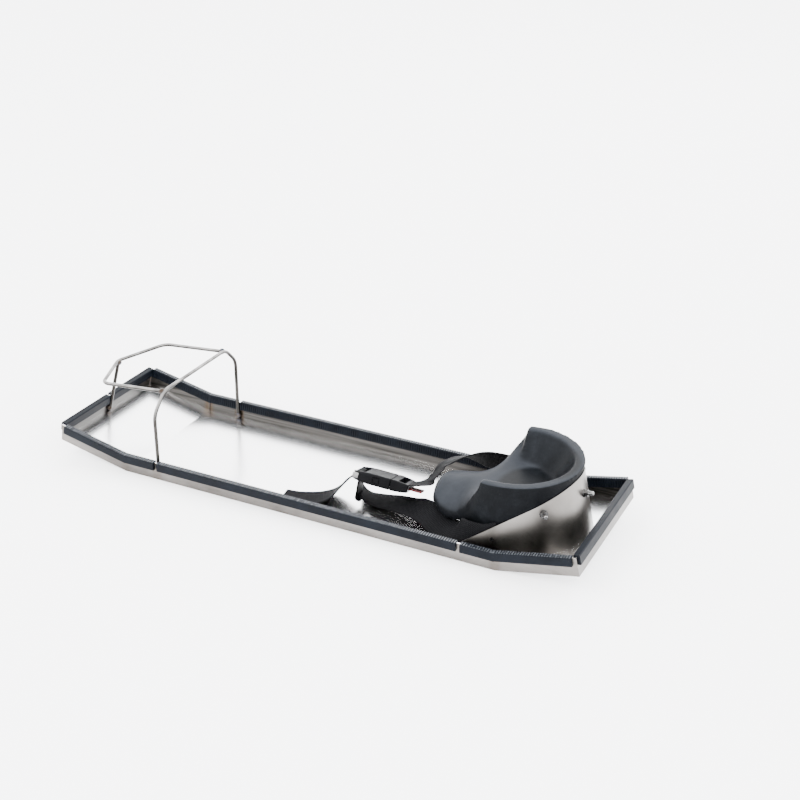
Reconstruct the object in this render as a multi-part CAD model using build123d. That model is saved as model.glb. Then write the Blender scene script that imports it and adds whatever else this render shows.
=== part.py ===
"""Kneeling board: a shallow stainless tray with both ends bent up, a wire foot hoop at the rear,
a steel cup band with a moulded rubber knee pad at the front, and a webbing strap with a buckle.

Millimetres. X runs along the board towards the knee end, +Y is the left side, +Z is up.
The origin is under the middle of the board, on the surface that it slides on.
"""
from build123d import *
from math import sin, cos, tan, radians, atan2
import os

# ------------------------------------------------------------------ driving dimensions
# tray
flat_length = 508.0        # flat middle of the board
wing_length = 102.0        # each bent-up end, along its slope
wing_angle = 12.0
floor_width = 192.0
sheet = 1.5
rim_height = 24.0          # steel wall, square to the floor it stands on
rim_lean = 4.0             # the two long walls lean outwards
weld_radius = 1.3

# edge trim pushed over the rim
trim_leg = 10.0            # how far each leg reaches down the wall
trim_wall = 3.4
trim_web = 1.5
trim_chamfer = 1.2
leg_gap = 5.0              # trim left out where a hoop leg stands
cup_gap = 5.0              # trim left out where the cup band is welded
trim_end_gap = 0.4         # side trim stops this far short of the end trim

# foot hoop
wire = 4.5
hoop_x = -205.0            # plane of the cross bow
hoop_height = 112.0        # axis of the top bar
shoulder_drop = 24.0       # height of the sloping shoulder
shoulder_run = 23.0        # how far in the shoulder comes
bow_bend = 24.0
loop_half_width = 68.0
loop_straight = 94.0       # side bars of the front loop
loop_slope = 5.0           # the loop falls this many degrees away from the bow
loop_bend = 15.0
leg_lean = 15.5            # the centre leg leans towards the bow
weld_bead = 4.0

# knee cup band
band_x = 13.5              # centre of the cup, along the front wing from the fold
band_radius = 67.0         # outside
band_flare = 21.0          # the sides open out by this much towards the rear
band_rear_x = 207.0
band_rear_top = 20.8       # top edge at the rear end
band_slope = 32.2          # slope of the top edge
bolt_angle = 55.0          # side bolts, either side of the middle one
bolt_level = 53.0          # up the band, square to the wing
bolt_diameter = 5.0
bolt_tail = 6.5            # thread left outside the nut
nut_flats = 8.0
nut_thick = 4.0
washer_diameter = 10.0
washer_thick = 1.0
bolt_head_depth = 9.0      # head buried in the pad behind the band
bolt_head = 3.0
bolt_head_width = 13.0
band_weld = 3.0

# knee pad
pad_x = 237.5
pad_radius = 80.0          # outside of the lip
pad_top = 98.0
pad_taper = 9.0            # the wall draws in downwards
lip_width = 12.0
cup_floor = 61.0
cup_floor_radius = 46.0
pad_rear_x = 190.0
wall_end_x = 223.0         # rear end of the side walls at lip level
tongue_thick = 11.0
# rear part of the pad: place, half width, height at the edge and in the middle
saddle_stations = [(142.0, 17.0, 44.0, 47.0), (146.0, 33.0, 38.0, 48.0), (159.0, 44.0, 33.0, 50.0),
                   (171.0, 48.5, 30.0, 53.0), (185.0, 50.5, 31.0, 56.0), (197.0, 57.0, 45.0, 59.0),
                   (205.0, 62.0, 60.0, 60.5), (213.0, 69.0, 77.0, 60.5), (223.0, 78.0, 93.0, 61.0)]
pad_clearance = 0.5

# webbing and buckle
webbing = 38.0
webbing_thick = 1.8
strap_gap = 0.8            # the buckle's webbing stops this far from what it is wound over
buckle_middle = (77.0, -21.0, 34.0)
buckle_turn = (-22.0, 8.0, 10.0)      # rolled to the left, nose down, turned to the left
buckle_width = 50.0
buckle_thick = 14.0
buckle_corner = 3.0
buckle_half_length = 34.0
buckle_wall = 2.6
buckle_clearance = 0.4
window_length = 13.0
socket_mouth = 12.0        # mouth of the socket, from the middle of the buckle
socket_depth = 27.0
guide_length = 23.0
guide_width = 14.0
guide_thick = 6.0
prong_reach = 21.0
prong_width = 6.0
prong_thick = 6.0
prong_offset = 16.0        # middle of each prong from the buckle's middle line
head_length = 7.0
slide_bar = 4.0
tab_size = (15.0, 20.0, 1.6)
anchor_run = 46.0          # rivet of each strap, along the flared side of the band
anchor_level = 30.0
anchor_tail = 8.0          # webbing past the rivet
rivet_diameter = 5.0
rivet_head_width = 10.0
rivet_head = 1.6

# ------------------------------------------------------------------ shared geometry
half_flat = flat_length / 2
board_end = half_flat + wing_length          # measured along the floor
half_width = floor_width / 2
lean = tan(radians(rim_lean))
bend = radians(wing_angle)


def board_point(s, y, n):
    """Point at distance s along the floor from the middle and n square to the floor."""
    side = 1 if s >= 0 else -1
    run = abs(s) - half_flat
    if run < 0:
        return Vector(s, y, n)
    if run == 0:                             # on the mitre of the fold
        return Vector(side * (half_flat - n * tan(bend / 2)), y, n)
    return Vector(side * (half_flat + run * cos(bend) - n * sin(bend)), y,
                  run * sin(bend) + n * cos(bend))


def rim_point(s, side, out, n):
    """Point on a long wall: out is measured outwards from its outer face."""
    return board_point(s, side * (half_width + out + n * lean), n)


def polygon(points):
    return make_face(Polyline(*points, close=True))


def rim_run(side, stations, profile):
    """Solid with one profile (out, n), carried along a long wall through the stations."""
    sections = [polygon([rim_point(s, side, out, n) for out, n in profile]) for s in stations]
    return loft(sections, ruled=True)


def rod(start, end, diameter):
    start, end = Vector(*start), Vector(*end)
    line = Edge.make_line(start, end)
    disc = Plane(origin=start, z_dir=end - start) * Circle(diameter / 2)
    return sweep(disc, path=line)


def wire_along(path, diameter):
    return sweep((path ^ 0) * Circle(diameter / 2), path=path)


def side_view(points, half):
    """Prism across the board, from its outline in X and Z."""
    face = polygon([Vector(x, -half, z) for x, z in points])
    return extrude(face, amount=2 * half, dir=(0, 1, 0))


def save(part, name):
    part.label = name
    export_step(part, f"parts/{name}.step")


os.makedirs("parts", exist_ok=True)

# ------------------------------------------------------------------ tray
floor_stations = [-board_end, -half_flat, half_flat, board_end]


def make_tray():
    lower = [board_point(s, 0, 0) for s in floor_stations]
    upper = [board_point(s, 0, sheet) for s in reversed(floor_stations)]
    tray = side_view([(p.X, p.Z) for p in lower + upper], half_width)
    wall = [(0, 0), (-sheet, 0), (-sheet, rim_height), (0, rim_height)]
    for side in (-1, 1):
        tray += rim_run(side, floor_stations, wall)
    for end in (-1, 1):
        faces = []
        for s in (board_end - sheet, board_end):
            corners = [(side, n) for side, n in ((-1, 0), (1, 0), (1, rim_height), (-1, rim_height))]
            faces.append(polygon([rim_point(end * s, side, 0, n) for side, n in corners]))
        tray += loft(faces, ruled=True)
    return tray


tray = make_tray()
save(tray, "base_tray")


def make_corner_welds():
    """Beads where the walls are notched at the folds and where they meet at the ends."""
    top = rim_height - trim_leg - 1.0
    beads = []
    for end in (-1, 1):
        for side in (-1, 1):
            fold = [rim_point(end * half_flat, side, -sheet, n) for n in (sheet, top)]
            corner_s = end * (board_end - sheet)
            corner = [rim_point(corner_s, side, -sheet, n) for n in (sheet, top)]
            for low, high in (fold, corner):
                beads.append(rod(low, high, 2 * weld_radius) - tray)
    return Compound(children=[solid for bead in beads for solid in bead.solids()])


save(make_corner_welds(), "corner_welds")

# ------------------------------------------------------------------ edge trim
trim_top = rim_height + trim_web


def trim_profile():
    outer, inner = trim_wall, -sheet - trim_wall
    low = rim_height - trim_leg
    c = trim_chamfer
    return [(outer, low), (outer, trim_top - c), (outer - c, trim_top), (inner + c, trim_top),
            (inner, trim_top - c), (inner, low), (-sheet, low), (-sheet, rim_height),
            (0, rim_height), (0, low)]


def side_trim(side, start, stop):
    stations = [start] + [s for s in (-half_flat, half_flat) if start < s < stop] + [stop]
    return rim_run(side, stations, trim_profile())


def end_trim(end, start, stop):
    sections = [polygon([board_point(end * (board_end + out), y, n) for out, n in trim_profile()])
                for y in (start, stop)]
    return loft(sections, ruled=True)


trim_end = board_end - sheet - trim_wall - trim_end_gap
cup_gap_x = band_rear_x + cup_gap / 2
trim_spans = {"rear": (-trim_end, hoop_x - leg_gap / 2),
              "middle": (hoop_x + leg_gap / 2, cup_gap_x - cup_gap / 2),
              "front": (cup_gap_x + cup_gap / 2, trim_end)}
for side, side_name in ((-1, "right"), (1, "left")):
    for span, (start, stop) in trim_spans.items():
        save(side_trim(side, start, stop), f"edge_trim_{side_name}_{span}")

end_reach = half_width - sheet
save(end_trim(-1, -end_reach, -leg_gap / 2), "edge_trim_rear_end_right")
save(end_trim(-1, leg_gap / 2, end_reach), "edge_trim_rear_end_left")
save(end_trim(1, -end_reach, end_reach), "edge_trim_front_end")

# ------------------------------------------------------------------ foot hoop
leg_y = half_width - sheet - wire / 2
wire_sink = wire * 0.4     # the loop's ends are notched this far into the bow
shoulder_y = leg_y - shoulder_run


def make_bow():
    corners = [(-leg_y, sheet), (-leg_y, hoop_height - shoulder_drop), (-shoulder_y, hoop_height),
               (shoulder_y, hoop_height), (leg_y, hoop_height - shoulder_drop), (leg_y, sheet)]
    path = FilletPolyline(*[Vector(hoop_x, y, z) for y, z in corners], radius=bow_bend)
    return wire_along(path, wire)


def loop_point(run, y):
    """Point of the front loop's plane, run measured away from the bow."""
    fall = radians(loop_slope)
    return Vector(hoop_x - wire_sink - run * cos(fall), y, hoop_height - wire_sink - run * sin(fall))


# the apex of the loop stands over the centre leg, so the leg's line sets how far it reaches
leg_foot = board_point(-(board_end - sheet - wire / 2), 0, sheet)
fall = radians(loop_slope)
lean_in = tan(radians(leg_lean))
leg_height = (hoop_height - wire_sink - leg_foot.Z
              - (hoop_x - wire_sink - leg_foot.X) * tan(fall)) / (1 - lean_in * tan(fall))
apex_run = (hoop_x - wire_sink - leg_foot.X - leg_height * lean_in) / cos(fall)


def make_loop():
    corners = [(0, -loop_half_width), (loop_straight, -loop_half_width), (apex_run, 0),
               (loop_straight, loop_half_width), (0, loop_half_width)]
    path = FilletPolyline(*[loop_point(run, y) for run, y in corners], radius=loop_bend)
    return wire_along(path, wire)


bow = make_bow()
loop = make_loop() - bow
apex_turn = atan2(apex_run - loop_straight, loop_half_width)
apex_cut = loop_bend * (1 / cos(apex_turn) - 1)     # the bend passes inside its corner
loop_apex = loop_point(apex_run - apex_cut, 0)
centre_leg = rod(leg_foot, loop_apex, wire) - loop - tray
save(bow, "hoop_cross_bow")
save(loop, "hoop_front_loop")
save(centre_leg, "hoop_centre_leg")


def make_hoop_welds():
    places = [Vector(hoop_x, side * leg_y, sheet + wire) for side in (-1, 1)]
    places += [leg_foot + Vector(0, 0, wire), loop_apex - Vector(0, 0, wire / 2)]
    places += [loop_point(wire / 2, side * loop_half_width) for side in (-1, 1)]
    beads = [Pos(*place) * Sphere(weld_bead) - bow - loop - centre_leg - tray for place in places]
    return Compound(children=[max(bead.solids(), key=lambda s: s.volume) for bead in beads])


save(make_hoop_welds(), "hoop_welds")

# ------------------------------------------------------------------ knee cup band
wing_plane = Plane(origin=(half_flat, 0, 0), x_dir=(cos(bend), 0, sin(bend)),
                   z_dir=(-sin(bend), 0, cos(bend)))
flare = radians(band_flare)
band_reach = 130.0         # flared sides are drawn past the walls and then trimmed


def band_corner(radius, side):
    """Where a flared side leaves the arc."""
    return band_x + radius * sin(flare), side * radius * cos(flare)


def band_outline(radius):
    """Points and arc of one face of the band, in the wing's own plane."""
    right, left = band_corner(radius, -1), band_corner(radius, 1)
    back = Vector(-cos(flare), sin(flare)) * band_reach
    lines = [Line((left[0] + back.X, left[1] + back.Y), left),
             ThreePointArc(left, (band_x + radius, 0), right),
             Line(right, (right[0] + back.X, right[1] - back.Y))]
    return lines


def cup_prism(radius):
    """Everything inside one face of the band, square to the wing."""
    lines = band_outline(radius)
    closing = Line(lines[-1] @ 1, lines[0] @ 0)
    face = make_face(lines + [closing])
    return extrude(wing_plane * face, amount=150, both=True)


def above_floor(clearance, rear_x, top_line):
    """Side view of the space between the floor and a sloping top line."""
    floor = [board_point(s, 0, sheet + clearance) for s in (half_flat, board_end - sheet)]
    front_x = floor[-1].X
    outline = [(rear_x, sheet + clearance)] + [(p.X, p.Z) for p in floor]
    outline += [(front_x, top_line(front_x)), (rear_x, top_line(rear_x))]
    return side_view(outline, floor_width)


def band_top(x):
    return band_rear_top + (x - band_rear_x) * tan(radians(band_slope))


def inside_walls(clearance):
    """Space between the two long walls, beside the flat middle and above."""
    low, high = sheet, pad_top
    reach = half_width - sheet - clearance
    corners = [(-1, low), (1, low), (1, high), (-1, high)]
    faces = [polygon([Vector(x, side * (reach + z * lean), z) for side, z in corners])
             for x in (0, board_end)]
    return loft(faces, ruled=True)


def make_band():
    shell = cup_prism(band_radius) - cup_prism(band_radius - sheet)
    shell &= above_floor(0, band_rear_x, band_top)
    return shell & inside_walls(0)


band = make_band()


# ------------------------------------------------------------------ knee pad
def pad_wall(extra=0.0):
    """Outside of the pad: a round wall that draws in downwards."""
    depth = pad_top
    low = pad_radius - depth * tan(radians(pad_taper)) + extra
    return Pos(pad_x, 0, pad_top / 2) * Cone(low, pad_radius + extra, depth)


def pad_top_line(x, half, edge, crest):
    """Top of the pad across the board: arched where the edges hang, dished where they rise."""
    power = 2 if edge < crest else 4
    shares = [i / 6 for i in range(-6, 7)]
    return [Vector(x, share * half, crest + (edge - crest) * abs(share) ** power)
            for share in shares]


def pad_slab(thickness):
    """Solid of the pad's rear part, hanging below its top surface or standing above it."""
    sections = []
    for x, half, edge, crest in saddle_stations:
        top = pad_top_line(x, half, edge, crest)
        other = [point - Vector(0, 0, thickness) for point in reversed(top)]
        sections.append(polygon(top + other))
    return loft(sections, ruled=True)


def knee_hollow():
    """Space for the knee, open towards the rear above the saddle."""
    depth = pad_top - cup_floor
    mouth = pad_radius - lip_width
    bowl = Pos(pad_x, 0, cup_floor + depth / 2) * Cone(cup_floor_radius, mouth, depth)
    run_out = side_view([(wall_end_x, cup_floor), (pad_x, cup_floor), (pad_x, pad_top),
                         (wall_end_x, pad_top)], cup_floor_radius)
    return bowl + run_out


def beyond(x, low_line, top=None):
    """Prism in front of x, above a sloping line."""
    top = top or 2 * pad_top
    return side_view([(x, low_line(x)), (board_end, low_line(board_end)), (board_end, top),
                      (x, top)], floor_width)


def make_pad():
    wall = pad_wall()
    inside = cup_prism(band_radius - sheet - pad_clearance)
    inside &= above_floor(pad_clearance, pad_rear_x, lambda x: 2 * pad_top)
    over_band = beyond(pad_rear_x, lambda x: band_top(x) + pad_clearance)
    body = (wall & inside) + (wall & over_band)
    body &= beyond(pad_rear_x, lambda x: 0)
    body -= beyond(pad_rear_x, lambda x: 0) - beyond(wall_end_x, lambda x: 0) - under_saddle()
    return body - knee_hollow() + pad_slab(tongue_thick)


def under_saddle():
    """Everything below the rear part's top surface."""
    return pad_slab(2 * pad_top)


# ------------------------------------------------------------------ bolts through the band
def bolt_at(angle):
    """Frame on the outer face of the band: Z points outwards, square to the band."""
    turn = radians(angle)
    on_band = Pos(band_x + band_radius * cos(turn), band_radius * sin(turn), bolt_level)
    return wing_plane.location * on_band * Rot(0, 0, angle) * Rot(0, 90, 0)


bolt_places = [bolt_at(angle) for angle in (-bolt_angle, 0, bolt_angle)]
bolt_reach = washer_thick + nut_thick + bolt_tail
bolt_inside = sheet + bolt_head_depth


def bolt():
    shank_length = bolt_reach + bolt_inside
    shank = Pos(0, 0, bolt_reach - shank_length / 2) * Cylinder(bolt_diameter / 2, shank_length)
    shank = chamfer(shank.edges().sort_by(Axis.Z)[-1], bolt_diameter * 0.12)
    head = Pos(0, 0, -bolt_inside - bolt_head / 2) * Cylinder(bolt_head_width / 2, bolt_head)
    return shank + head


def washer():
    ring = Cylinder(washer_diameter / 2, washer_thick) - Cylinder(bolt_diameter / 2, washer_thick)
    return Pos(0, 0, washer_thick / 2) * ring


def nut():
    hexagon = RegularPolygon(nut_flats / 2, 6, major_radius=False) - Circle(bolt_diameter / 2)
    return Pos(0, 0, washer_thick) * extrude(hexagon, amount=nut_thick)


def repeat(piece, places):
    return Compound(children=[place * piece() for place in places])


def anchor_at(side, run):
    """Frame on the outside of one flared side of the band, looking outwards."""
    x, y = band_corner(band_radius, side)
    on_band = Pos(x - run * cos(flare), y + side * run * sin(flare), anchor_level)
    return wing_plane.location * on_band * Rot(0, 0, side * (90 - band_flare)) * Rot(0, 90, 0)


def rivet():
    """Through the band and the webbing: flush outside, with a flat head inside."""
    grip = sheet + webbing_thick + 2 * strap_gap
    shank = Pos(0, 0, -grip / 2) * Cylinder(rivet_diameter / 2, grip)
    inner = Pos(0, 0, -grip - rivet_head / 2) * Cylinder(rivet_head_width / 2, rivet_head)
    return shank + inner


bolts = repeat(bolt, bolt_places)
rivets = repeat(rivet, [anchor_at(side, anchor_run) for side in (-1, 1)])
save(rivets, "strap_rivets")
band = band - bolts - rivets
save(band, "knee_cup_band")
save(bolts, "band_bolts")
save(repeat(washer, bolt_places), "band_washers")
save(repeat(nut, bolt_places), "band_nuts")

pad = make_pad() - bolts
save(pad, "knee_pad")


def make_band_welds():
    """Beads down both rear edges of the band, where they meet the walls."""
    beads = []
    for side in (-1, 1):
        low, high = (rim_point(band_rear_x, side, -sheet, n)
                     for n in (sheet, rim_height - trim_leg - 1.0))
        beads.append(rod(low, high, band_weld) - tray - band)
    return Compound(children=[solid for bead in beads for solid in bead.solids()])


save(make_band_welds(), "band_welds")

# ------------------------------------------------------------------ buckle
# In the buckle's own frame X runs along the strap to the male half and Z is its thickness.
roll, pitch, yaw = buckle_turn
buckle_place = Pos(*buckle_middle) * Rot(0, 0, yaw) * Rot(0, pitch, 0) * Rot(roll, 0, 0)
window_width = webbing + 2.0
bar_x = buckle_half_length - slide_bar / 2 - 1.0
inner_width = buckle_width - 2 * buckle_wall
inner_thick = buckle_thick - 2 * buckle_wall
socket_end = socket_mouth - socket_depth
head_x = socket_mouth - prong_reach + head_length / 2
head_out = buckle_width / 2 - prong_offset


def block(start, stop, width, thick, y=0.0):
    return Pos((start + stop) / 2, y, 0) * Box(stop - start, width, thick)


def shell(start, stop, width, thick):
    """Block with its four long edges rounded."""
    body = block(start, stop, width, thick)
    return fillet(body.edges().filter_by(Axis.X), buckle_corner)


def make_female():
    body = shell(-buckle_half_length, socket_mouth, buckle_width, buckle_thick)
    body -= block(socket_end, socket_mouth, inner_width, inner_thick)
    body -= block(-buckle_half_length, window_length - buckle_half_length, window_width, buckle_thick)
    for side in (-1, 1):
        body -= block(head_x - head_length / 2 - buckle_clearance,
                      head_x + head_length / 2 + buckle_clearance, buckle_width - inner_width,
                      prong_thick + 2 * buckle_clearance, side * buckle_width / 2)
    return body


def make_slide_bar():
    turned = Pos(-bar_x, 0, 0) * Rot(90, 0, 0)
    return turned * Cylinder(slide_bar / 2, buckle_width + 2.0)


def make_male():
    body = shell(socket_mouth + buckle_clearance, buckle_half_length, buckle_width, buckle_thick)
    body -= block(buckle_half_length - window_length, bar_x - slide_bar / 2, window_width,
                  buckle_thick)
    guide = block(socket_mouth - guide_length, socket_mouth + buckle_clearance, guide_width,
                  guide_thick)
    return body + guide


def make_prong(side):
    y = side * prong_offset
    arm = block(socket_mouth - prong_reach, socket_mouth + buckle_clearance, prong_width,
                prong_thick, y)
    head = block(head_x - head_length / 2, head_x + head_length / 2, head_out, prong_thick,
                 side * (prong_offset + head_out / 2))
    return arm + head


slide = make_slide_bar()
save(buckle_place * (make_female() - slide), "buckle_female")
save(buckle_place * slide, "strap_slide_bar")
save(buckle_place * make_male(), "buckle_male")
save(buckle_place * make_prong(-1), "buckle_prong_right")
save(buckle_place * make_prong(1), "buckle_prong_left")

# ------------------------------------------------------------------ webbing
# A strap is a list of places along its middle, each with the direction across the webbing.
across_buckle = Vector(*(buckle_place * Pos(0, 1, 0)).position) - Vector(*buckle_middle)


def at_buckle(x, z):
    """Place in the buckle's frame, with the webbing level with the buckle."""
    return (buckle_place * Pos(x, 0, z)).position, across_buckle


def at_anchor(side, run):
    """Place against the inside of the band, with the webbing upright on the wing."""
    lift = -sheet - strap_gap - webbing_thick / 2
    return (anchor_at(side, run) * Pos(0, 0, lift)).position, wing_plane.z_dir


def ribbon(stations):
    """Webbing through the stations: flat strips between rectangular sections."""
    sections = []
    for i, (middle, across) in enumerate(stations):
        before = Vector(*stations[max(i - 1, 0)][0])
        after = Vector(*stations[min(i + 1, len(stations) - 1)][0])
        up = (after - before).cross(Vector(*across)).normalized() * (webbing_thick / 2)
        half = up.cross(after - before).normalized() * (webbing / 2)
        middle = Vector(*middle)
        sections.append([middle + half + up, middle - half + up, middle - half - up,
                         middle + half - up])
    outlines = [sections[0], sections[-1][::-1]]
    for first, second in zip(sections, sections[1:]):
        for corner in range(4):
            following = (corner + 1) % 4
            a, b = first[corner], first[following]
            c, d = second[following], second[corner]
            if corner == 2:                  # the under side is creased like the upper side
                outlines += [[a, d, b], [d, c, b]]
            else:
                outlines += [[a, d, c], [a, c, b]]
    return Solid(Shell([Face(Wire.make_polygon(outline)) for outline in outlines]))


over_bar = slide_bar / 2 + strap_gap + webbing_thick / 2
beside_bar = over_bar * 0.8
anchor_end = anchor_run - anchor_tail

# from the right side of the cup, along the floor, up through the buckle and over the bar
near_route = [at_anchor(-1, anchor_end), at_anchor(-1, anchor_run + anchor_tail),
              ((214, -80, 25), (0.1, 0.15, 1)), ((198, -74, 20), (0.2, 0.5, 0.8)),
              ((185, -67, 15), (0.25, 0.85, 0.35)), ((170, -57, 14), (0.2, 0.93, 0.25)), ((150, -47, 19), (0.1, 0.97, 0.24)),
              ((132, -40, 19), (0, 0.98, 0.15)), ((115, -34, 15), (-0.1, 0.98, 0)),
              ((96, -29, 11), (-0.2, 0.97, -0.05)), ((76, -26, 7.5), (-0.2, 0.97, -0.1)),
              ((58, -24, 7.5), (-0.2, 0.95, -0.2)), ((47, -23, 13), (-0.22, 0.9, -0.33)),
              at_buckle(-bar_x + over_bar, -11), at_buckle(-bar_x + over_bar, 0.5),
              at_buckle(-bar_x + beside_bar, beside_bar)]
# over the bar, down beside the buckle and out along the right wall
tail_route = [at_buckle(-bar_x, over_bar),
              at_buckle(-bar_x - beside_bar, beside_bar), at_buckle(-bar_x - over_bar, -0.5),
              ((33, -31, 29), (-0.25, 0.9, -0.35)), ((25, -36, 19), (-0.3, 0.9, -0.3)),
              ((15, -44, 10), (-0.3, 0.93, -0.15)), ((0, -54, 5), (-0.2, 0.97, -0.05)),
              ((-20, -64, 3.5), (-0.1, 1, 0)), ((-40, -68, 3.5), (-0.1, 1, 0))]
# from the male half up to the left side of the cup; the webbing turns over on the way
far_route = [at_buckle(bar_x, over_bar), at_buckle(bar_x + 6, over_bar + 1),
             ((119, 3, 29), (-0.35, 0.88, -0.33)), ((124, 13, 31), (-0.38, 0.87, -0.3)),
             ((127, 23, 35), (-0.42, 0.87, -0.27)), ((130, 34, 40), (-0.43, 0.87, -0.27)),
             ((138, 47, 44), (-0.45, 0.83, -0.35)), ((149, 57, 46), (-0.4, 0.78, -0.48)),
             ((161, 63, 45), (-0.28, 0.66, -0.7)), ((175, 67, 43), (-0.12, 0.5, -0.86)),
             ((190, 71, 41), (-0.1, 0.42, -0.9)), ((204, 76, 36), (-0.1, 0.28, -0.95)),
             ((215, 80, 31), (0, 0.1, -1))]
far_route += [(middle, -across) for middle, across in
              (at_anchor(1, anchor_run + anchor_tail), at_anchor(1, anchor_end))]
save(ribbon(near_route + tail_route) - rivets, "strap_right")
save(ribbon(far_route) - rivets, "strap_left")

tab = Pos(buckle_half_length + tab_size[0] / 2, 0, -2) * Box(*tab_size)
save(buckle_place * tab, "pull_tab")
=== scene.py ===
"""Kneeling board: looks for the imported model. Metres, in the model's own frame.

+X runs along the board to the knee end, +Y is the left side, +Z is up.
"""
from math import cos, pi, radians, sin, tan

import bmesh
import bpy
from mathutils import Matrix, Vector


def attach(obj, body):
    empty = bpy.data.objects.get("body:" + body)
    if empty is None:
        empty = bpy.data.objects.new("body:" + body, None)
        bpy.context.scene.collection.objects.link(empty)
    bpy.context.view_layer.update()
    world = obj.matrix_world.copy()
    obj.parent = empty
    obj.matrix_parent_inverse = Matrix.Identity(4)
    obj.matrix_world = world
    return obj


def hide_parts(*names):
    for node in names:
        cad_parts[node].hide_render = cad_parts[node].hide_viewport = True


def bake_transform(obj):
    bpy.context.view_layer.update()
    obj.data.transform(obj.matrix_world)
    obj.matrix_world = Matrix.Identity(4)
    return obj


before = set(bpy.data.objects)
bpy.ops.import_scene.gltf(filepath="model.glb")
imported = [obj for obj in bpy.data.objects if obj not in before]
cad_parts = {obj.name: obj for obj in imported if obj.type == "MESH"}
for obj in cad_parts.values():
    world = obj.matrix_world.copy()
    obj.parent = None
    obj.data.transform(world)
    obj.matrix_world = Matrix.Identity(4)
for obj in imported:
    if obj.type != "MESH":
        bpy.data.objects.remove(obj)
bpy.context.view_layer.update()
MM = 0.001

# ------------------------------------------------------------------ dimensions
HALF_FLAT = 254.0 * MM
WING = 102.0 * MM
BEND = radians(12.0)
HALF_WIDTH = 96.0 * MM
SHEET = 1.5 * MM
RIM = 24.0 * MM
LEAN = tan(radians(4.0))
TRIM_WALL = 3.4 * MM
TRIM_WEB = 1.5 * MM
TRIM_LEG = 10.0 * MM
TRIM_ROUND = 1.3 * MM
RIB_PITCH = 3.2 * MM
RIB_DEPTH = 0.9 * MM
HOOP_X = -205.0 * MM           # plane of the hoop's two side legs
CROWN = range(3, 6)            # places in the trim's section that lie along its top, whose rib crowns get the painted highlight
WEBBING = 38.0 * MM
WEBBING_THICK = 1.8 * MM
BAR = 4.0 * MM
BAND_CENTRE = 13.5 * MM        # along the front wing, from the fold
BAND_RADIUS = 67.0 * MM
BAND_FLARE = radians(21.0)
PAD_HOLLOW_X = 266.0 * MM
PAD_HOLLOW = 47.0 * MM
BUCKLE_MIDDLE = Vector((77.0, -21.0, 34.0)) * MM
BUCKLE_TURN = (radians(-22.0), radians(8.0), radians(10.0))


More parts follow.
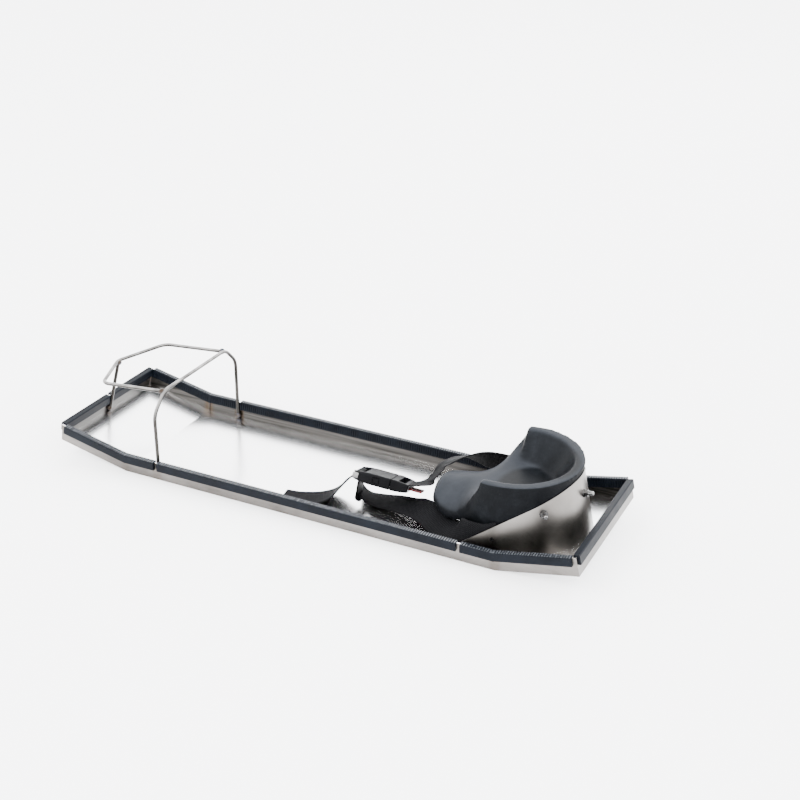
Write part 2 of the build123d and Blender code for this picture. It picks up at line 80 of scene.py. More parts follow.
# ------------------------------------------------------------------ node materials
class Shader:
    """Short way to build one node material."""

    def __init__(self, name):
        self.material = bpy.data.materials.new(name)
        self.material.use_nodes = True
        self.tree = self.material.node_tree
        self.principled = self.tree.nodes["Principled BSDF"]

    def node(self, kind, **settings):
        node = self.tree.nodes.new(kind)
        for key, value in settings.items():
            setattr(node, key, value)
        return node

    def link(self, output, node, socket):
        self.tree.links.new(output, node.inputs[socket])

    def set(self, **values):
        for key, value in values.items():
            self.principled.inputs[key.replace("_", " ")].default_value = value
        return self

    def coordinates(self, scale=(1, 1, 1), source="Object"):
        place = self.node("ShaderNodeTexCoord")
        mapping = self.node("ShaderNodeMapping")
        mapping.inputs["Scale"].default_value = scale
        self.link(place.outputs[source], mapping, "Vector")
        return mapping.outputs["Vector"]

    def noise(self, scale, detail=4.0, stretch=(1, 1, 1), roughness=0.55, source="Object"):
        texture = self.node("ShaderNodeTexNoise")
        texture.inputs["Scale"].default_value = scale
        texture.inputs["Detail"].default_value = detail
        texture.inputs["Roughness"].default_value = roughness
        self.link(self.coordinates(stretch, source), texture, "Vector")
        return texture.outputs["Fac"]

    def ramp(self, value, stops):
        ramp = self.node("ShaderNodeValToRGB")
        elements = ramp.color_ramp.elements
        while len(elements) < len(stops):
            elements.new(0.5)
        for element, (position, colour) in zip(elements, stops):
            element.position = position
            element.color = (*colour, 1.0) if len(colour) == 3 else colour
        self.link(value, ramp, "Fac")
        return ramp.outputs["Color"]

    def spread(self, value, low, high):
        """Map 0..1 noise, mostly 0.3..0.7, onto a range."""
        span = self.node("ShaderNodeMapRange")
        for socket, number in zip(("From Min", "From Max", "To Min", "To Max"),
                                  (0.3, 0.7, low, high)):
            span.inputs[socket].default_value = number
        self.link(value, span, "Value")
        return span.outputs["Result"]

    def between(self, value, low, high):
        """Ramp from 0 at low to 1 at high, which may be the smaller number."""
        span = self.node("ShaderNodeMapRange", interpolation_type="SMOOTHSTEP")
        span.inputs["From Min"].default_value = low
        span.inputs["From Max"].default_value = high
        self.link(value, span, "Value")
        return span.outputs["Result"]

    def axis(self, source, letter):
        place = self.node("ShaderNodeTexCoord")
        split = self.node("ShaderNodeSeparateXYZ")
        self.link(place.outputs[source], split, "Vector")
        return split.outputs[letter]

    def mix(self, factor, first, second, blend="MIX"):
        mixer = self.node("ShaderNodeMix", data_type="RGBA", blend_type=blend)
        for socket, value in (("Factor", factor), ("A", first), ("B", second)):
            spot = [s for s in mixer.inputs if s.name == socket and s.enabled][0]
            if isinstance(value, bpy.types.NodeSocket):
                self.tree.links.new(value, spot)
            elif socket == "Factor":
                spot.default_value = value
            else:
                spot.default_value = (*value, 1.0)
        return [s for s in mixer.outputs if s.enabled][0]

    def maths(self, operation, first, second=0.0):
        node = self.node("ShaderNodeMath", operation=operation)
        for i, value in enumerate((first, second)):
            if isinstance(value, bpy.types.NodeSocket):
                self.tree.links.new(value, node.inputs[i])
            else:
                node.inputs[i].default_value = value
        return node.outputs["Value"]

    def colour(self, output):
        self.link(output, self.principled, "Base Color")
        return self

    def roughness(self, output):
        self.link(output, self.principled, "Roughness")
        return self

    def bump(self, heights):
        """Stack of (height output, strength, distance in metres)."""
        normal = None
        for height, strength, distance in heights:
            bump = self.node("ShaderNodeBump")
            bump.inputs["Strength"].default_value = strength
            bump.inputs["Distance"].default_value = distance
            self.link(height, bump, "Height")
            if normal is not None:
                self.link(normal, bump, "Normal")
            normal = bump.outputs["Normal"]
        self.link(normal, self.principled, "Normal")
        return self


CUP_SHADE = (8.0 * MM, 78.0 * MM)       # painted dark reflection: the band's tone climbs from dark to light over this
CUP_WANDER = 16.0 * MM                  # and the edge between them wanders up and down


def cup_steel():
    """Rolled band: satin sheet, with a painted dark reflection towards its foot and soft upright
    bands of painted reflection.
    """
    m = Shader("cup_steel").set(Metallic=1.0)
    streaks = m.noise(60.0, 2.0, (10, 10, 0.5))
    smears = m.noise(9.0, 5.0)
    upright = m.noise(26.0, 1.0, (1, 1, 0.1))
    lift = m.maths("ADD", m.axis("Object", "Z"), m.spread(upright, -CUP_WANDER, CUP_WANDER))
    shade = m.between(lift, *CUP_SHADE)
    # painted dark reflection at the foot, varied in upright bands; painted light reflection on the
    # upper band, varied at random by smears
    low = m.mix(m.spread(upright, 0.0, 1.0), (0.014, 0.0125, 0.0110), (0.080, 0.073, 0.065))
    high = m.mix(m.spread(smears, 0.0, 1.0), (0.10, 0.093, 0.086), (0.19, 0.179, 0.168))
    m.colour(m.mix(shade, low, high))
    m.roughness(m.maths("ADD", m.spread(streaks, 0.27, 0.31), m.spread(smears, 0.05, 0.0)))
    return m.bump([(streaks, 0.02, 0.0002)])


def wire_steel():
    """Drawn wire: a painted highlight on top, painted shade below and on the uprights, darkest on
    their faces towards the rear.
    """
    m = Shader("wire_steel").set(Metallic=1.0)
    scratches = m.noise(1800.0, 4.0)
    smears = m.noise(60.0, 4.0)
    painted_top_light = m.between(m.axis("Normal", "Z"), -0.1, 0.65)
    # painted shade colours for the underside, painted highlight colours for the top, both varied at
    # random by smears
    low = m.mix(m.spread(smears, 0.0, 1.0), (0.008, 0.0074, 0.0068), (0.035, 0.032, 0.029))
    high = m.mix(m.spread(smears, 0.0, 1.0), (0.07, 0.067, 0.064), (0.19, 0.185, 0.18))
    # painted shade on the rear-facing sides of the uprights
    side = m.between(m.axis("Normal", "X"), 0.2, -0.5)
    upright = m.between(m.maths("ABSOLUTE", m.axis("Normal", "Z")), 0.5, 0.2)
    m.colour(m.mix(m.maths("MULTIPLY", side, upright), m.mix(painted_top_light, low, high), low))
    m.roughness(m.spread(scratches, 0.16, 0.28))
    return m.bump([(scratches, 0.1, 0.0001)])


# How far a face of the tray lies from the middle, measured along its own normal: the walls are
# more than 90 mm out, the floor is not.
OUTER_FACE = (75.0 * MM, 85.0 * MM)
INNER_FACE = (-85.0 * MM, -92.0 * MM)
TINT_REACH = (10.0 * MM, 3.0 * MM)      # heat tint fades out from 3 to 10 mm off a weld
OUTSIDE_TINT = 0.4                      # share of it that shows on the outside


def tray_steel():
    """Tray sheet: a painted mirror-bright floor inside, painted shade on the lined inner walls and
    on the scuffed outside, heat tint.
    """
    m = Shader("tray_steel").set(Metallic=1.0)
    streaks = m.noise(60.0, 2.0, (0.5, 6, 6))
    smears = m.noise(11.0, 6.0, (1, 1, 3), roughness=0.65)
    lines = m.noise(5.0, 3.0, (1, 1, 70))
    place = m.node("ShaderNodeTexCoord")
    facing = m.node("ShaderNodeVectorMath", operation="DOT_PRODUCT")
    m.link(place.outputs["Object"], facing, 0)
    m.link(place.outputs["Normal"], facing, 1)
    outside = m.between(facing.outputs["Value"], *OUTER_FACE)
    inner_wall = m.between(facing.outputs["Value"], *INNER_FACE)
    wall = m.maths("MAXIMUM", outside, inner_wall)
    split = m.node("ShaderNodeSeparateXYZ")
    m.link(place.outputs["Object"], split, "Vector")
    from_fold = m.maths("ABSOLUTE", m.maths("SUBTRACT", m.maths("ABSOLUTE", split.outputs["X"]),
                                            HALF_FLAT))
    from_leg = m.maths("ABSOLUTE", m.maths("SUBTRACT", split.outputs["X"], HOOP_X))
    near_weld = m.between(m.maths("MINIMUM", from_fold, from_leg), *TINT_REACH)
    seen = m.maths("MAXIMUM", inner_wall, m.maths("MULTIPLY", outside, OUTSIDE_TINT))
    tint = m.maths("MULTIPLY", m.maths("MULTIPLY", near_weld, seen), m.spread(smears, 0.3, 0.9))
    # lit and shaded copies of one steel: a painted bright reflection on the floor, painted shade on
    # the inner walls in horizontal lines and on the outside, varied at random by smears
    floor = m.mix(m.spread(smears, 0.0, 1.0), (0.96, 0.96, 0.965), (0.99, 0.99, 0.99))
    inner = m.mix(m.spread(lines, 0.0, 1.0), (0.016, 0.015, 0.014), (0.072, 0.068, 0.063))
    outer = m.mix(m.spread(smears, 0.0, 1.0), (0.082, 0.075, 0.069), (0.18, 0.169, 0.159))
    sheet = m.mix(outside, m.mix(inner_wall, floor, inner), outer)
    m.colour(m.mix(tint, sheet, (0.045, 0.026, 0.012)))
    m.roughness(m.maths("ADD", m.maths("MULTIPLY", wall, 0.10), m.spread(smears, 0.20, 0.23)))
    return m.bump([(streaks, 0.015, 0.0002)])


def weld_metal():
    """Weld beads with straw, brown and blue heat colours."""
    m = Shader("weld_metal").set(Metallic=1.0)
    tint = m.noise(130.0, 3.0)
    m.colour(m.ramp(tint, [(0.35, (0.020, 0.013, 0.009)), (0.5, (0.050, 0.042, 0.036)),
                           (0.65, (0.030, 0.032, 0.040))]))
    m.roughness(m.spread(m.noise(500.0), 0.3, 0.55))
    return m.bump([(m.noise(900.0, 2.0), 0.5, 0.0004)])


def trim_vinyl():
    """Dark blue-grey edge trim."""
    m = Shader("trim_vinyl").set(Specular_IOR_Level=0.05)
    dust = m.noise(45.0, 6.0)
    m.colour(m.mix(m.spread(dust, 0.0, 1.0), (0.0010, 0.0015, 0.0027), (0.0030, 0.0042, 0.0066)))
    m.roughness(m.spread(dust, 0.38, 0.5))
    return m.bump([(m.noise(1500.0, 2.0), 0.12, 0.0002)])


def rib_highlight_vinyl():
    """Crowns of the ribs: a lighter grey as a painted highlight along the trim's top."""
    m = Shader("rib_highlight_vinyl").set(Specular_IOR_Level=0.2)
    wear_and_glint = m.noise(260.0, 4.0)
    # the noise breaks the crowns' painted highlight into spots of painted glint
    m.colour(m.mix(m.spread(wear_and_glint, 0.0, 1.0), (0.004, 0.0055, 0.008), (0.040, 0.044, 0.050)))
    m.roughness(m.spread(wear_and_glint, 0.22, 0.35))
    return m.bump([(wear_and_glint, 0.1, 0.0002)])


BLACK = (0.0, 0.0, 0.0)
# The hollow's painted shade fades in between these reaches from its axis; the saddle's painted sheen
# spans these x and z ranges.
HOLLOW_EDGE = (PAD_HOLLOW + 6.0 * MM, PAD_HOLLOW - 4.0 * MM)
SADDLE_SHINE_X = (PAD_HOLLOW_X - 0.4 * PAD_HOLLOW, PAD_HOLLOW_X - PAD_HOLLOW)
SADDLE_SHINE_Z = (60.0 * MM, 45.0 * MM)


def pad_rubber():
    """Moulded rubber: a painted highlight makes it lighter on the lip and the tongue, painted shade
    makes it dark in the hollow and below, with a painted sheen on the saddle.
    """
    m = Shader("pad_rubber").set(Specular_IOR_Level=0.03)
    mottle = m.noise(28.0, 8.0, roughness=0.7)
    fine = m.noise(420.0, 4.0)
    up = m.between(m.axis("Normal", "Z"), 0.35, 0.9)
    x, y, z = (m.axis("Object", letter) for letter in "XYZ")
    across = m.maths("POWER", y, 2.0)
    along = m.maths("POWER", m.maths("SUBTRACT", x, PAD_HOLLOW_X), 2.0)
    reach = m.maths("SQRT", m.maths("ADD", across, along))
    hollow = m.between(reach, *HOLLOW_EDGE)
    # side: painted shade on faces that don't point up; top: painted highlight on faces that point
    # up; the hollow gets painted shade
    side = m.ramp(mottle, [(0.32, (0.0014, 0.0016, 0.0020)), (0.55, (0.0030, 0.0034, 0.0041)),
                           (0.75, (0.0070, 0.0078, 0.0092))])
    top = m.ramp(mottle, [(0.3, (0.0100, 0.0112, 0.0134)), (0.7, (0.0175, 0.0194, 0.0228))])
    painted_hollow_shade = m.ramp(mottle, [(0.3, (0.0007, 0.0009, 0.0012)), (0.7, (0.0040, 0.0047, 0.0058))])
    # painted sheen on the saddle, added where the hollow's faces point up
    saddle = m.maths("MULTIPLY", m.between(x, *SADDLE_SHINE_X), m.between(z, *SADDLE_SHINE_Z))
    shine = m.mix(saddle, BLACK, (0.020, 0.0225, 0.027))
    m.colour(m.mix(1.0, m.mix(hollow, m.mix(up, side, top), painted_hollow_shade),
                   m.mix(m.maths("MULTIPLY", up, hollow), BLACK, shine), "ADD"))
    m.roughness(m.maths("SUBTRACT", m.spread(mottle, 0.42, 0.58), m.maths("MULTIPLY", hollow, 0.14)))
    return m.bump([(mottle, 0.12, 0.001), (fine, 0.22, 0.0003)])


WEFT_PITCH = 2.2 * MM
WARP_PITCH = 2.4 * MM


def webbing_cloth():
    """Black ribbed webbing. U runs along the strap and V across, both in metres."""
    m = Shader("webbing_cloth").set(Sheen_Weight=0.002, Sheen_Roughness=0.4,
                                    Specular_IOR_Level=0.02)
    uv = m.coordinates((1, 1, 1), "UV")
    split = m.node("ShaderNodeSeparateXYZ")
    m.link(uv, split, "Vector")
    ribs = m.maths("SINE", m.maths("MULTIPLY", split.outputs["X"], 2 * pi / WEFT_PITCH))
    warp = m.maths("SINE", m.maths("MULTIPLY", split.outputs["Y"], 2 * pi / WARP_PITCH))
    weave = m.maths("MULTIPLY", ribs, warp)
    wear_and_glint = m.noise(70.0, 5.0)
    ground = m.mix(m.spread(wear_and_glint, 0.0, 1.0), (0.0005, 0.0005, 0.0007), (0.0016, 0.0016, 0.0020))
    m.colour(m.mix(m.between(weave, 0.15, 0.8), ground, (0.011, 0.0112, 0.012)))
    m.roughness(m.spread(wear_and_glint, 0.5, 0.68))
    return m.bump([(ribs, 0.4, 0.00035), (weave, 0.4, 0.0003), (m.noise(2500.0), 0.2, 0.0001)])


def tab_cloth():
    """Red woven pull tab."""
    m = Shader("tab_cloth").set(Sheen_Weight=0.05, Roughness=0.7, Specular_IOR_Level=0.1)
    weave = m.noise(900.0, 2.0, (1, 3, 1))
    m.colour(m.mix(m.spread(weave, 0.0, 1.0), (0.055, 0.005, 0.006), (0.13, 0.018, 0.02)))
    return m.bump([(weave, 0.5, 0.0003)])


def buckle_plastic():
    """Black moulded plastic with a fine grain."""
    m = Shader("buckle_plastic").set(Specular_IOR_Level=0.035)
    grain = m.noise(1300.0, 2.0)
    m.colour(m.mix(m.spread(m.noise(60.0, 6.0), 0.0, 1.0), (0.0007, 0.0007, 0.001),
                   (0.002, 0.002, 0.0025)))
    m.roughness(m.spread(m.noise(90.0), 0.32, 0.46))
    return m.bump([(grain, 0.25, 0.00015)])


def zinc_steel():
    """Plated fasteners: painted light, bright on faces that point up, and painted shade on faces
    that point down.
    """
    m = Shader("zinc_steel").set(Metallic=1.0)
    tone = m.noise(900.0, 4.0)
    painted_top_light = m.between(m.axis("Normal", "Z"), -0.2, 0.7)
    plating = m.mix(m.spread(tone, 0.0, 1.0), (0.09, 0.09, 0.09), (0.26, 0.255, 0.25))
    # painted shade on faces that point down, the lit plating tone on faces that point up
    m.colour(m.mix(painted_top_light, (0.016, 0.016, 0.017), plating))
    m.roughness(m.spread(tone, 0.16, 0.3))
    return m.bump([(m.noise(1200.0), 0.2, 0.0001)])


SHEET_STEEL = tray_steel().material
CUP_STEEL = cup_steel().material
WIRE_STEEL = wire_steel().material
WELD = weld_metal().material
TRIM = trim_vinyl().material
RIB_HIGHLIGHT = rib_highlight_vinyl().material
PAD = pad_rubber().material
CLOTH = webbing_cloth().material
TAB = tab_cloth().material
PLASTIC = buckle_plastic().material
ZINC = zinc_steel().material


# ------------------------------------------------------------------ mesh helpers
def new_piece(name, vertices, faces, material, smooth=True, uvs=None):
    mesh = bpy.data.meshes.new(name)
    mesh.from_pydata([tuple(v) for v in vertices], [], faces)
    mesh.materials.append(material)
    if uvs is not None:
        layer = mesh.uv_layers.new(name="UVMap")
        for polygon in mesh.polygons:
            for loop in polygon.loop_indices:
                layer.data[loop].uv = uvs[mesh.loops[loop].vertex_index]
    for polygon in mesh.polygons:
        polygon.use_smooth = smooth
    mesh.update()
    piece = bpy.data.objects.new(name, mesh)
    bpy.context.scene.collection.objects.link(piece)
    return piece


def loft_rings(rings):
    """Vertices and faces of a closed tube through rings of equal length, with flat ends."""
    count = len(rings[0])
    vertices = [point for ring in rings for point in ring]
    faces = []
    for i in range(len(rings) - 1):
        for j in range(count):
            k = (j + 1) % count
            a, b = i * count, (i + 1) * count
            faces.append((a + j, a + k, b + k, b + j))
    faces.append(tuple(reversed(range(count))))
    last = (len(rings) - 1) * count
    faces.append(tuple(range(last, last + count)))
    return vertices, faces


def apply_modifiers(piece):
    graph = bpy.context.evaluated_depsgraph_get()
    mesh = bpy.data.meshes.new_from_object(piece.evaluated_get(graph))
    piece.modifiers.clear()
    piece.data = mesh


def bevelled(piece, width, segments=3, angle=30.0):
    bevel = piece.modifiers.new("edges", "BEVEL")
    bevel.width = width
    bevel.segments = segments
    bevel.limit_method = "ANGLE"
    bevel.angle_limit = radians(angle)
    apply_modifiers(piece)
    for polygon in piece.data.polygons:
        polygon.use_smooth = True
    return piece


def outward(piece):
    mesh = bmesh.new()
    mesh.from_mesh(piece.data)
    bmesh.ops.recalc_face_normals(mesh, faces=mesh.faces)
    mesh.to_mesh(piece.data)
    mesh.free()
    return piece


# ------------------------------------------------------------------ the board's own shape
def board_point(s, y, n):
    """Point at distance s along the floor from the middle and n square to the floor."""
    side = 1 if s >= 0 else -1
    run = abs(s) - HALF_FLAT
    if run < 0:
        return Vector((s, y, n))
    if run == 0:
        return Vector((side * (HALF_FLAT - n * tan(BEND / 2)), y, n))
    return Vector((side * (HALF_FLAT + run * cos(BEND) - n * sin(BEND)), y,
                   run * sin(BEND) + n * cos(BEND)))


def rim_point(s, side, out, n):
    return board_point(s, side * (HALF_WIDTH + out + n * LEAN), n)


def trim_ring(point, inset=0.0):
    """U section over the rim: outer leg, rounded top, inner leg, then the slot."""
    outer, inner = TRIM_WALL, -SHEET - TRIM_WALL + inset
    low, top = RIM - TRIM_LEG, RIM + TRIM_WEB - inset
    r = TRIM_ROUND
    arc = [(sin(radians(a)), cos(radians(a))) for a in (90, 67, 45, 22, 0)]
    profile = [(outer, low)]
    profile += [(outer - r + r * x, top - r + r * z) for x, z in arc]
    profile += [(inner + r - r * x, top - r + r * z) for x, z in reversed(arc)]
    profile += [(inner, low), (-SHEET, low), (-SHEET, RIM - 0.2 * MM), (0, RIM - 0.2 * MM), (0, low)]
    return [point(out, n) for out, n in profile]


def ribbed_trim(name, side, start, stop):
    count = round((stop - start) / RIB_PITCH)
    pitch = (stop - start) / count
    rings = []
    for i in range(count):
        for share, inset in ((0.0, RIB_DEPTH), (0.18, RIB_DEPTH), (0.30, 0.0), (0.88, 0.0)):
            s = start + pitch * (i + share)
            rings.append(trim_ring(lambda out, n: rim_point(s, side, out, n), inset))
    rings.append(trim_ring(lambda out, n: rim_point(stop, side, out, n), RIB_DEPTH))
    piece = make_trim(name, rings)
    piece.data.materials.append(RIB_HIGHLIGHT)
    profile = len(rings[0])
    for polygon in piece.data.polygons:
        ring, spot = divmod(min(polygon.vertices), profile)
        # the rib crowns along the top take the second material, a painted highlight
        if len(polygon.vertices) == 4 and ring % 4 == 2 and spot in CROWN:
            polygon.material_index = 1
    return piece


def smooth_trim(name, end, start, stop):
    reach = HALF_FLAT + WING
    rings = []
    for i in range(13):
        y = start + (stop - start) * i / 12
        rings.append(trim_ring(lambda out, n: board_point(end * (reach + out), y, n)))
    return make_trim(name, rings)


def make_trim(name, rings):
    vertices, faces = loft_rings(rings)
    piece = new_piece("ribbed_" + name, vertices, faces, TRIM, smooth=False)
    outward(piece)
    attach(piece, "root")
    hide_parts(name)
    return piece


TRIM_END_GAP = 0.4 * MM         # side trims stop this far short of the end trims
TRIM_END = HALF_FLAT + WING - SHEET - TRIM_WALL - TRIM_END_GAP
CUP_GAP = (207.0 * MM, 212.0 * MM)
LEG_GAP = 5.0 * MM
spans = {"rear": (-TRIM_END, HOOP_X - LEG_GAP / 2), "middle": (HOOP_X + LEG_GAP / 2, CUP_GAP[0]),
         "front": (CUP_GAP[1], TRIM_END)}
for side, side_name in ((-1, "right"), (1, "left")):
    for span, (start, stop) in spans.items():
        ribbed_trim(f"edge_trim_{side_name}_{span}", side, start, stop)
END_REACH = HALF_WIDTH - SHEET
smooth_trim("edge_trim_rear_end_right", -1, -END_REACH, -LEG_GAP / 2)
smooth_trim("edge_trim_rear_end_left", -1, LEG_GAP / 2, END_REACH)
smooth_trim("edge_trim_front_end", 1, -END_REACH, END_REACH)


# ------------------------------------------------------------------ knee pad
def remeshed_copy(node, name, voxel, passes, material):
    """Closed copy of a CAD solid with its edges rounded, as a moulding has."""
    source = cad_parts[node]
    piece = bpy.data.objects.new(name, source.data.copy())
    bpy.context.scene.collection.objects.link(piece)
    piece.data.materials.clear()
    piece.data.materials.append(material)
    remesh = piece.modifiers.new("voxels", "REMESH")
    remesh.mode = "VOXEL"
    remesh.voxel_size = voxel
    smooth = piece.modifiers.new("soften", "SMOOTH")
    smooth.iterations = passes
    smooth.factor = 0.5
    apply_modifiers(piece)
    for polygon in piece.data.polygons:
        polygon.use_smooth = True
    return piece


SADDLE_FRONT = 245.0 * MM      # ahead of this the pad keeps its crisp lip
SADDLE_BLEND = 20.0 * MM
SADDLE_LOW = 25.0 * MM         # the pad's underside is left alone
SADDLE_PASSES = 30
PAD_VOXEL = 2.0 * MM
PAD_PASSES = 7


def make_pad():
    """Rounded pad whose rear top flows into the tongue as one saddle."""
    pad = remeshed_copy("knee_pad", "moulded_knee_pad", PAD_VOXEL, PAD_PASSES, PAD)
    rear = pad.vertex_groups.new(name="saddle")
    for vertex in pad.data.vertices:
        x, _, z = vertex.co
        weight = min(1.0, max(0.0, (SADDLE_FRONT - x) / SADDLE_BLEND)) if z > SADDLE_LOW else 0.0
        rear.add([vertex.index], weight, "REPLACE")
    flow = pad.modifiers.new("saddle_flow", "SMOOTH")
    flow.iterations = SADDLE_PASSES
    flow.factor = 0.5
    flow.vertex_group = "saddle"
    subdivide = pad.modifiers.new("finer", "SUBSURF")
    subdivide.levels = 1
    subdivide.render_levels = 1
    apply_modifiers(pad)
    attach(pad, "root")
    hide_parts("knee_pad")
    return pad


make_pad()

# ------------------------------------------------------------------ webbing
buckle_matrix = (Matrix.Translation(BUCKLE_MIDDLE) @ Matrix.Rotation(BUCKLE_TURN[2], 4, "Z")
                 @ Matrix.Rotation(BUCKLE_TURN[1], 4, "Y") @ Matrix.Rotation(BUCKLE_TURN[0], 4, "X"))
wing_matrix = Matrix.Translation((HALF_FLAT, 0, 0)) @ Matrix.Rotation(-BEND, 4, "Y")
BUCKLE_HALF = 34.0 * MM
BAR_X = BUCKLE_HALF - BAR / 2 - 1.0 * MM
STRAP_GAP = 0.8 * MM
OVER_BAR = BAR / 2 + STRAP_GAP + WEBBING_THICK / 2
BESIDE_BAR = OVER_BAR * 0.8    # halfway round the bar
ANCHOR_RUN = 46.0 * MM
ANCHOR_TAIL = 8.0 * MM
ANCHOR_LEVEL = 30.0 * MM
SELVEDGE_THINNING = 0.65
SELVEDGE_SHARPNESS = 12


def at(x, y, z, across):
    return Vector((x, y, z)) * MM, Vector(across)


def at_buckle(x, z):
    return buckle_matrix @ Vector((x, 0, z)), buckle_matrix.to_3x3() @ Vector((0, 1, 0))


def at_anchor(side, run):
    x = BAND_CENTRE + BAND_RADIUS * sin(BAND_FLARE) - run * cos(BAND_FLARE)
    y = side * (BAND_RADIUS * cos(BAND_FLARE) + run * sin(BAND_FLARE))
    depth = SHEET + STRAP_GAP + WEBBING_THICK / 2
    inwards = Vector((-sin(BAND_FLARE), -side * cos(BAND_FLARE), 0)) * depth
    middle = wing_matrix @ (Vector((x, y, ANCHOR_LEVEL)) + inwards)
    return middle, wing_matrix.to_3x3() @ Vector((0, 0, 1))


def smooth_between(stations, steps):
    """Catmull-Rom curve through the stations, for the middle line and the direction across."""
    out = []
    for i in range(len(stations) - 1):
        four = [stations[max(i - 1, 0)], stations[i], stations[i + 1],
                stations[min(i + 2, len(stations) - 1)]]
        for k in range(steps):
            t = k / steps
            w = (-0.5 * t + t * t - 0.5 * t ** 3, 1 - 2.5 * t * t + 1.5 * t ** 3,
                 0.5 * t + 2 * t * t - 1.5 * t ** 3, -0.5 * t * t + 0.5 * t ** 3)
            out.append(tuple(sum((four[j][part] * w[j] for j in range(4)), Vector((0, 0, 0)))
                             for part in (0, 1)))
    out.append(stations[-1])
    return out


def ribbon(name, stations, steps=8, columns=12):
    """Closed strip of webbing with rounded selvedges."""
    line = smooth_between(stations, steps)
    rings, lengths, travelled = [], [], 0.0
    for i, (middle, across) in enumerate(line):
        ahead = line[min(i + 1, len(line) - 1)][0] - line[max(i - 1, 0)][0]
        up = ahead.cross(across).normalized()
        half = up.cross(ahead).normalized() * (WEBBING / 2)
        if i:
            travelled += (middle - line[i - 1][0]).length
        lengths.append(travelled)
        ring = []
        for face in (1, -1):
            for j in range(columns + 1):
                v = (1 - 2 * j / columns) * face
                edge = 1.0 - SELVEDGE_THINNING * abs(v) ** SELVEDGE_SHARPNESS
                ring.append(middle + half * v + up * (face * edge * WEBBING_THICK / 2))
        rings.append(ring)
    vertices, faces = loft_rings(rings)
    uvs = [(length, WEBBING * j / columns)
           for length in lengths for _ in (1, -1) for j in range(columns + 1)]
    return outward(new_piece(name, vertices, faces, CLOTH, uvs=uvs))


# Stations of each strap, in mm: its middle line, then the direction across the webbing.
near_route = [at_anchor(-1, ANCHOR_RUN - ANCHOR_TAIL), at_anchor(-1, ANCHOR_RUN + ANCHOR_TAIL),
              at(214, -80, 25, (0.1, 0.15, 1)), at(198, -74, 20, (0.2, 0.5, 0.8)),
              at(185, -67, 15, (0.25, 0.85, 0.35)), at(170, -57, 14, (0.2, 0.93, 0.25)),
              at(150, -47, 19, (0.1, 0.97, 0.24)), at(132, -40, 19, (0, 0.98, 0.15)),
              at(115, -34, 15, (-0.1, 0.98, 0)), at(96, -29, 11, (-0.2, 0.97, -0.05)),
              at(76, -26, 7.5, (-0.2, 0.97, -0.1)), at(58, -24, 7.5, (-0.2, 0.95, -0.2)),
              at(47, -23, 13, (-0.22, 0.9, -0.33)), at_buckle(-BAR_X + OVER_BAR, -11 * MM),
              at_buckle(-BAR_X + OVER_BAR, 0.5 * MM), at_buckle(-BAR_X + BESIDE_BAR, BESIDE_BAR),
              at_buckle(-BAR_X, OVER_BAR), at_buckle(-BAR_X - BESIDE_BAR, BESIDE_BAR),
              at_buckle(-BAR_X - OVER_BAR, -0.5 * MM), at(33, -31, 29, (-0.25, 0.9, -0.35)),
              at(25, -36, 19, (-0.3, 0.9, -0.3)), at(15, -44, 10, (-0.3, 0.93, -0.15)),
              at(0, -54, 5, (-0.2, 0.97, -0.05)), at(-20, -64, 3.5, (-0.1, 1, 0)),
              at(-40, -68, 3.5, (-0.1, 1, 0))]
far_route = [at_buckle(BAR_X, OVER_BAR), at_buckle(BAR_X + 6 * MM, OVER_BAR + 1 * MM),
             at(119, 3, 29, (-0.35, 0.88, -0.33)), at(124, 13, 31, (-0.38, 0.87, -0.3)),
             at(127, 23, 35, (-0.42, 0.87, -0.27)), at(130, 34, 40, (-0.43, 0.87, -0.27)),
             at(138, 47, 44, (-0.45, 0.83, -0.35)), at(149, 57, 46, (-0.4, 0.78, -0.48)),
             at(161, 63, 45, (-0.28, 0.66, -0.7)), at(175, 67, 43, (-0.12, 0.5, -0.86)),
             at(190, 71, 41, (-0.1, 0.42, -0.9)), at(204, 76, 36, (-0.1, 0.28, -0.95)),
             at(215, 80, 31, (0, 0.1, -1))]
far_route += [(middle, -across) for middle, across in
              (at_anchor(1, ANCHOR_RUN + ANCHOR_TAIL), at_anchor(1, ANCHOR_RUN - ANCHOR_TAIL))]
near_strap = ribbon("webbing_adjustable", near_route)
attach(near_strap, "root")
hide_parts("strap_right")
far_strap = ribbon("webbing_fixed", far_route)
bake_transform(far_strap)
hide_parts("strap_left")


# ------------------------------------------------------------------ buckle
TAPER_FROM = 12.0 * MM         # from the buckle's middle
TAPER_FLAT = 0.30
TAPER_WIDE = 0.10
BUCKLE_VOXEL = 0.6 * MM
BUCKLE_PASSES = 12
PLATE_OUT = 23.4 * MM          # middle of each squared end, from the buckle's middle
PLATE_BACK = 0.4 * MM
PLATE_SIZE = Vector((7.6, 2.6, 7.2)) * MM
PLATE_ROUND = 0.9 * MM


def moulded(node, body):
    """Buckle half with rounded edges, thinner and a little narrower towards its end."""
    piece = remeshed_copy(node, "moulded_" + node, BUCKLE_VOXEL, BUCKLE_PASSES, PLASTIC)
    back = buckle_matrix.inverted()
    for vertex in piece.data.vertices:
        x, y, z = back @ vertex.co
        share = max(0.0, abs(x) - TAPER_FROM) / (BUCKLE_HALF - TAPER_FROM)
        vertex.co = buckle_matrix @ Vector((x, y * (1 - TAPER_WIDE * share ** 2),
                                            z * (1 - TAPER_FLAT * share ** 2)))
    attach(piece, body)
    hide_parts(node)
    return piece


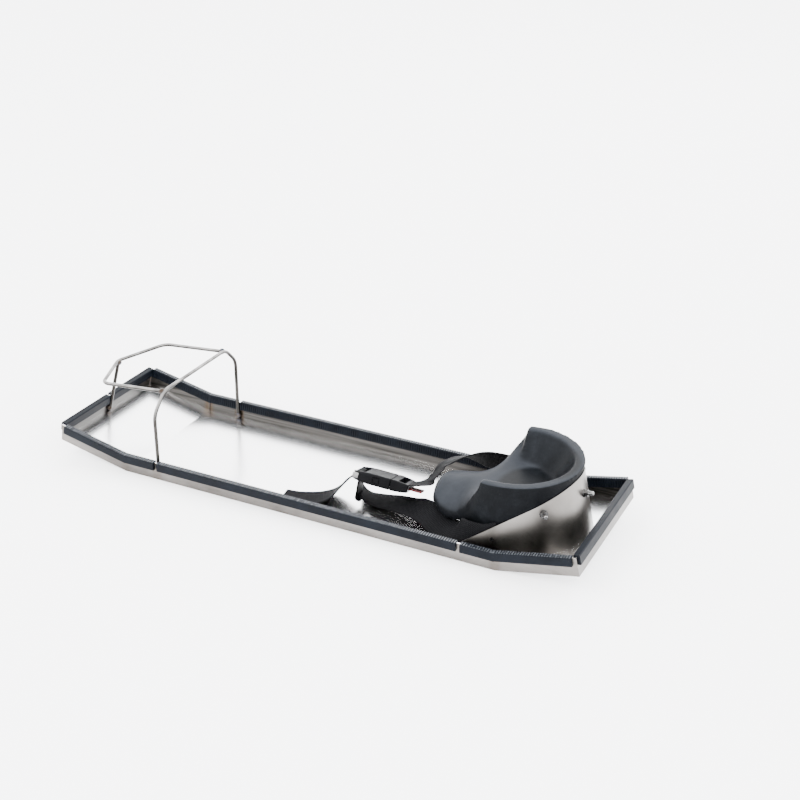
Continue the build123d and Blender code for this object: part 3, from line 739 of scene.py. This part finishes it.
def bar_plates():
    """The bar with its two squared ends, which show outside the buckle's cheeks."""
    mesh = bmesh.new()
    shapes = [(Vector((-BAR_X, 0, 0)), Vector((BAR, 2 * PLATE_OUT, BAR)))]
    shapes += [(Vector((-BAR_X - PLATE_BACK, side * PLATE_OUT, 0)), PLATE_SIZE)
               for side in (-1, 1)]
    for middle, size in shapes:
        bmesh.ops.create_cube(mesh, size=1.0, matrix=buckle_matrix @ Matrix.Translation(middle)
                              @ Matrix.Diagonal((*size, 1.0)))
    data = bpy.data.meshes.new("slide_bar")
    mesh.to_mesh(data)
    mesh.free()
    data.materials.append(ZINC)
    bar = bpy.data.objects.new("squared_slide_bar", data)
    bpy.context.scene.collection.objects.link(bar)
    bevelled(bar, PLATE_ROUND)
    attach(bar, "root")
    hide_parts("strap_slide_bar")


moulded("buckle_female", "root")
moulded("buckle_male", "male")
bar_plates()

# ------------------------------------------------------------------ materials on the CAD nodes
node_materials = {
    "base_tray": SHEET_STEEL, "knee_cup_band": CUP_STEEL, "hoop_cross_bow": WIRE_STEEL,
    "hoop_front_loop": WIRE_STEEL, "hoop_centre_leg": WIRE_STEEL, "corner_welds": WELD,
    "hoop_welds": WELD, "band_welds": WELD, "band_bolts": ZINC, "band_nuts": ZINC,
    "band_washers": ZINC, "strap_rivets": ZINC, "pull_tab": TAB,
    "buckle_prong_right": PLASTIC, "buckle_prong_left": PLASTIC}
for node, material in node_materials.items():
    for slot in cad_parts[node].material_slots:
        slot.material = material

# ------------------------------------------------------------------ floor, light and camera
FLOOR_REACH = 6.0
WORLD_COLOUR = (0.98, 0.985, 1.0, 1)
WORLD_STRENGTH = 7.0
# name, place, target, size (all in metres) and watts
LAMPS = [("key", (-1.2, -1.0, 2.4), (0, 0, 0), (1.8, 1.8), 48),
         ("fill", (2.2, -0.6, 1.6), (0, 0, 0), (1.6, 1.6), 20),
         ("rim", (0.4, 2.4, 1.7), (0.1, 0, 0), (2.4, 1.2), 28)]
CAMERA_PLACE = Vector((732.1, -1308.6, 853.2)) * MM
CAMERA_TURN = (radians(26.245), radians(26.228), radians(0.32))     # azimuth, elevation, roll
CAMERA_LENS = 61.65


def make_floor():
    """Wide pale floor, level with the underside of the board."""
    mesh = bpy.data.meshes.new("floor")
    reach = FLOOR_REACH
    mesh.from_pydata([(-reach, -reach, 0), (reach, -reach, 0), (reach, reach, 0),
                      (-reach, reach, 0)], [], [(0, 1, 2, 3)])
    pale = Shader("pale_floor").set(Base_Color=(0.93, 0.93, 0.93, 1), Roughness=0.9,
                                    Specular_IOR_Level=0.1)
    mesh.materials.append(pale.material)
    floor = bpy.data.objects.new("floor", mesh)
    bpy.context.scene.collection.objects.link(floor)


def soft_light(name, place, target, size, power):
    data = bpy.data.lights.new(name, "AREA")
    data.shape = "RECTANGLE"
    data.size, data.size_y = size
    data.energy = power
    lamp = bpy.data.objects.new(name, data)
    lamp.location = place
    lamp.rotation_euler = (Vector(target) - Vector(place)).to_track_quat("-Z", "Y").to_euler()
    bpy.context.scene.collection.objects.link(lamp)


def make_world():
    world = bpy.data.worlds.new("studio")
    bpy.context.scene.world = world
    world.use_nodes = True
    background = world.node_tree.nodes["Background"]
    background.inputs["Color"].default_value = WORLD_COLOUR
    background.inputs["Strength"].default_value = WORLD_STRENGTH


def make_camera():
    azimuth, elevation, roll = CAMERA_TURN
    back = Vector((sin(azimuth) * cos(elevation), -cos(azimuth) * cos(elevation), sin(elevation)))
    right = (-back).cross(Vector((0, 0, 1))).normalized()
    up = right.cross(-back)
    turned_right = right * cos(roll) + up * sin(roll)
    turned_up = up * cos(roll) - right * sin(roll)
    matrix = Matrix((turned_right, turned_up, back)).transposed().to_4x4()
    matrix.translation = CAMERA_PLACE
    data = bpy.data.cameras.new("camera")
    data.sensor_width = 36.0
    data.lens = CAMERA_LENS
    data.clip_end = 50.0
    camera = bpy.data.objects.new("camera", data)
    camera.matrix_world = matrix
    bpy.context.scene.collection.objects.link(camera)
    bpy.context.scene.camera = camera


make_floor()
for lamp in LAMPS:
    soft_light(*lamp)
make_world()
make_camera()
